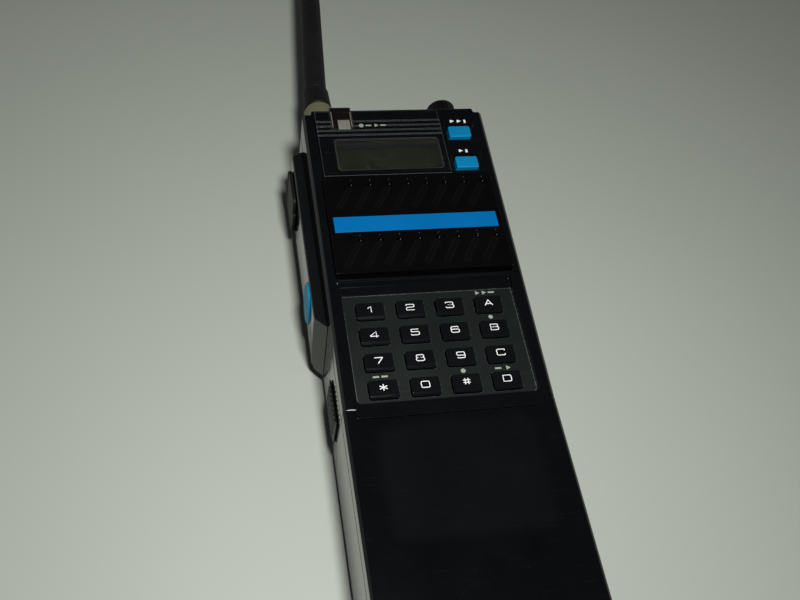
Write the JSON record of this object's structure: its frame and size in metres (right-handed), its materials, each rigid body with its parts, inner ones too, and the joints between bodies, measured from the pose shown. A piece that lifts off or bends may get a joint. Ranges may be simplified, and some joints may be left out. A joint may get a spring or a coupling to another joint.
{
  "type": "handheld two-way radio",
  "caption": "Slim black handheld radio lying on its back: keypad, display, louvred speaker, side talk button, slide-off battery and rubber whip antenna.",
  "frame": {"origin": "on the flat back, at the middle of the casing's width and length", "axes": "+X across the radio, +Y along it towards the antenna, +Z from the back to the front face"},
  "size_m": [0.0695, 0.3506, 0.0406],
  "materials": {
    "shell_black": "moulded, semi-gloss",
    "grille_black": "satin",
    "stripe_blue": "smooth",
    "button_blue": "smooth",
    "talk_blue": "smooth",
    "plate_green": "satin",
    "key_black": "satin",
    "seal_rubber": "matte",
    "soft_rubber": "matte",
    "clear": "clear",
    "lamp_white": "translucent",
    "lcd_grey": "reflective film",
    "collar_cream": "moulded",
    "brass": "turned",
    "steel": "brushed",
    "chassis_metal": "cast",
    "cell_can": "sleeved",
    "board_green": "lacquered",
    "part_dark": "moulded",
    "knob_black": "satin",
    "cone_paper": "fibre"
  },
  "bodies": {
    "casing": {"accessory_jacks": "part_dark", "antenna_socket": "brass", "board_parts": "part_dark", "button_switches": "part_dark", "case_seal": "seal_rubber", "casing_screws": "steel", "chassis": "chassis_metal", "clip_inserts": "brass", "display_bezel": "shell_black", "display_window": "clear", "front_board": "board_green", "front_shell": "shell_black", "keypad_mat": "seal_rubber", "keypad_plate": "plate_green", "lamp_block": "lamp_white", "lcd_module": "lcd_grey", "light_pipe": "clear", "main_board": "board_green", "microphone": "part_dark", "radio_contacts": "steel", "rear_shell": "shell_black", "shield_can": "steel", "side_grip": "shell_black", "speaker_basket": "steel", "speaker_cone": "cone_paper", "speaker_grille": "grille_black", "stripe_plate": "stripe_blue", "talk_switch": "part_dark", "volume_control": "part_dark"},
    "battery": {"battery_front": "shell_black", "battery_rear": "shell_black", "battery_cells": "cell_can", "cell_spacer": "part_dark", "battery_contacts": "brass"},
    "antenna": {"antenna_collar": "collar_cream", "antenna_boot": "soft_rubber", "antenna_whip": "soft_rubber", "antenna_core": "steel"},
    "volume_knob": {"volume_knob": "knob_black"},
    "talk_button": {"talk_button": "talk_blue"},
    "jack_cover": {"jack_cover": "soft_rubber"},
    "latch_slider": {"latch_slider": "knob_black"},
    "blue_button_upper": {"blue_button_upper": "button_blue"},
    "blue_button_lower": {"blue_button_lower": "button_blue"},
    "key_1": {"key_1": "key_black"},
    "key_2": {"key_2": "key_black"},
    "key_3": {"key_3": "key_black"},
    "key_a": {"key_a": "key_black"},
    "key_4": {"key_4": "key_black"},
    "key_5": {"key_5": "key_black"},
    "key_6": {"key_6": "key_black"},
    "key_b": {"key_b": "key_black"},
    "key_7": {"key_7": "key_black"},
    "key_8": {"key_8": "key_black"},
    "key_9": {"key_9": "key_black"},
    "key_c": {"key_c": "key_black"},
    "key_star": {"key_star": "key_black"},
    "key_0": {"key_0": "key_black"},
    "key_hash": {"key_hash": "key_black"},
    "key_d": {"key_d": "key_black"}
  },
  "joints": [
    {"name": "battery_pull", "type": "slide", "parent": "casing", "child": "battery", "axis": [0, -1, 0], "range_m": [0, 0.04]},
    {"name": "antenna_turn", "type": "hinge", "parent": "casing", "child": "antenna", "pos_m": [-0.0235, 0.09775, 0.0244], "axis": [0, 1, 0], "continuous": true},
    {"name": "volume_turn", "type": "hinge", "parent": "casing", "child": "volume_knob", "pos_m": [0.0225, 0.09775, 0.0244], "axis": [0, 1, 0], "range_deg": [0, 300]},
    {"name": "talk_press", "type": "slide", "parent": "casing", "child": "talk_button", "axis": [1, 0, 0], "range_m": [0, 0.0015], "stiffness_N_per_m": 2000},
    {"name": "cover_swing", "type": "hinge", "parent": "casing", "child": "jack_cover", "pos_m": [-0.03675, 0.08305, 0.0175], "axis": [0, 0, -1], "range_deg": [0, 100], "stiffness_Nm_per_rad": 0.002},
    {"name": "latch_slide", "type": "slide", "parent": "casing", "child": "latch_slider", "axis": [0, 1, 0], "range_m": [0, 0.003], "stiffness_N_per_m": 1000},
    {"name": "blue_upper_press", "type": "slide", "parent": "casing", "child": "blue_button_upper", "axis": [0, 0, -1], "range_m": [0, 0.0008], "stiffness_N_per_m": 1500},
    {"name": "blue_lower_press", "type": "slide", "parent": "casing", "child": "blue_button_lower", "axis": [0, 0, -1], "range_m": [0, 0.0008], "stiffness_N_per_m": 1500},
    {"name": "key_1_press", "type": "slide", "parent": "casing", "child": "key_1", "axis": [0, 0, -1], "range_m": [0, 0.0008], "stiffness_N_per_m": 1500},
    {"name": "key_2_press", "type": "slide", "parent": "casing", "child": "key_2", "axis": [0, 0, -1], "range_m": [0, 0.0008], "stiffness_N_per_m": 1500},
    {"name": "key_3_press", "type": "slide", "parent": "casing", "child": "key_3", "axis": [0, 0, -1], "range_m": [0, 0.0008], "stiffness_N_per_m": 1500},
    {"name": "key_a_press", "type": "slide", "parent": "casing", "child": "key_a", "axis": [0, 0, -1], "range_m": [0, 0.0008], "stiffness_N_per_m": 1500},
    {"name": "key_4_press", "type": "slide", "parent": "casing", "child": "key_4", "axis": [0, 0, -1], "range_m": [0, 0.0008], "stiffness_N_per_m": 1500},
    {"name": "key_5_press", "type": "slide", "parent": "casing", "child": "key_5", "axis": [0, 0, -1], "range_m": [0, 0.0008], "stiffness_N_per_m": 1500},
    {"name": "key_6_press", "type": "slide", "parent": "casing", "child": "key_6", "axis": [0, 0, -1], "range_m": [0, 0.0008], "stiffness_N_per_m": 1500},
    {"name": "key_b_press", "type": "slide", "parent": "casing", "child": "key_b", "axis": [0, 0, -1], "range_m": [0, 0.0008], "stiffness_N_per_m": 1500},
    {"name": "key_7_press", "type": "slide", "parent": "casing", "child": "key_7", "axis": [0, 0, -1], "range_m": [0, 0.0008], "stiffness_N_per_m": 1500},
    {"name": "key_8_press", "type": "slide", "parent": "casing", "child": "key_8", "axis": [0, 0, -1], "range_m": [0, 0.0008], "stiffness_N_per_m": 1500},
    {"name": "key_9_press", "type": "slide", "parent": "casing", "child": "key_9", "axis": [0, 0, -1], "range_m": [0, 0.0008], "stiffness_N_per_m": 1500},
    {"name": "key_c_press", "type": "slide", "parent": "casing", "child": "key_c", "axis": [0, 0, -1], "range_m": [0, 0.0008], "stiffness_N_per_m": 1500},
    {"name": "key_star_press", "type": "slide", "parent": "casing", "child": "key_star", "axis": [0, 0, -1], "range_m": [0, 0.0008], "stiffness_N_per_m": 1500},
    {"name": "key_0_press", "type": "slide", "parent": "casing", "child": "key_0", "axis": [0, 0, -1], "range_m": [0, 0.0008], "stiffness_N_per_m": 1500},
    {"name": "key_hash_press", "type": "slide", "parent": "casing", "child": "key_hash", "axis": [0, 0, -1], "range_m": [0, 0.0008], "stiffness_N_per_m": 1500},
    {"name": "key_d_press", "type": "slide", "parent": "casing", "child": "key_d", "axis": [0, 0, -1], "range_m": [0, 0.0008], "stiffness_N_per_m": 1500}
  ]
}
